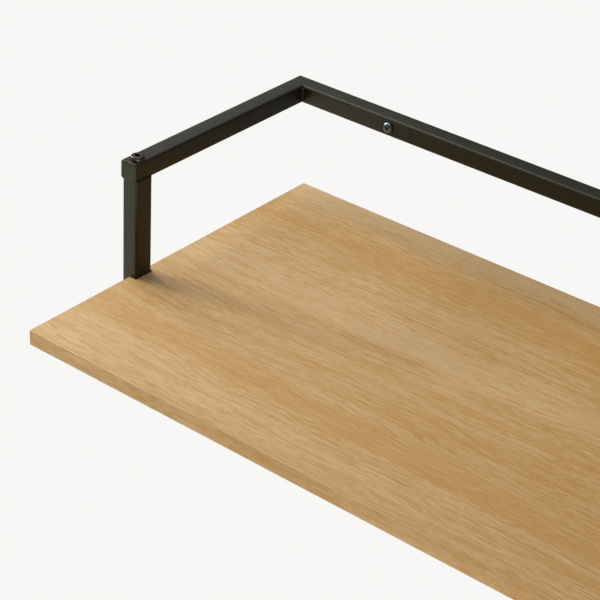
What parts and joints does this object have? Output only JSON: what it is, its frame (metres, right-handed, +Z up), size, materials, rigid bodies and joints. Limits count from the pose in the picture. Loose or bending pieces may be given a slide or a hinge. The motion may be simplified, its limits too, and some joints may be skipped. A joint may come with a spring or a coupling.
{
  "type": "wall shelf",
  "caption": "Oak wall shelf on a square-tube steel frame, with end posts that carry an open upper guard frame screwed to the wall.",
  "frame": {"origin": "on the wall plane, at the middle of the upper rail's back face", "axes": "+X along the shelf to the right as seen from the room, +Y into the wall, +Z up"},
  "size_m": [0.8196, 0.315, 0.1276],
  "materials": {
    "oak": "matt oiled oak, grain along the length",
    "frame_coat": "satin powder coat, near black",
    "coated_screw": "satin black",
    "bare_steel": "turned steel",
    "zinc_plate": "bright zinc plate"
  },
  "bodies": {
    "root": {"shelf_board": "oak", "upper_rail": "frame_coat", "upper_arm_left": "frame_coat", "upper_arm_right": "frame_coat", "upper_end_plate_left": "frame_coat", "upper_end_plate_right": "frame_coat", "upper_corner_weld_left": "frame_coat", "upper_corner_weld_right": "frame_coat", "lower_rail": "frame_coat", "lower_arm_left": "frame_coat", "lower_arm_right": "frame_coat", "lower_front_bar": "frame_coat", "lower_end_plate_left": "frame_coat", "lower_end_plate_right": "frame_coat", "lower_corner_weld_left": "frame_coat", "lower_corner_weld_right": "frame_coat", "lower_bar_weld_left": "frame_coat", "lower_bar_weld_right": "frame_coat", "post_left": "frame_coat", "post_right": "frame_coat", "post_top_insert_left": "bare_steel", "post_top_insert_right": "bare_steel", "post_bottom_insert_left": "bare_steel", "post_bottom_insert_right": "bare_steel", "post_top_screw_left": "coated_screw", "post_top_screw_right": "coated_screw", "post_bottom_screw_left": "coated_screw", "post_bottom_screw_right": "coated_screw", "upper_wall_screws": "zinc_plate", "lower_wall_screws": "zinc_plate", "rail_board_screws": "zinc_plate", "bar_board_screws": "zinc_plate"}
  },
  "joints": []
}
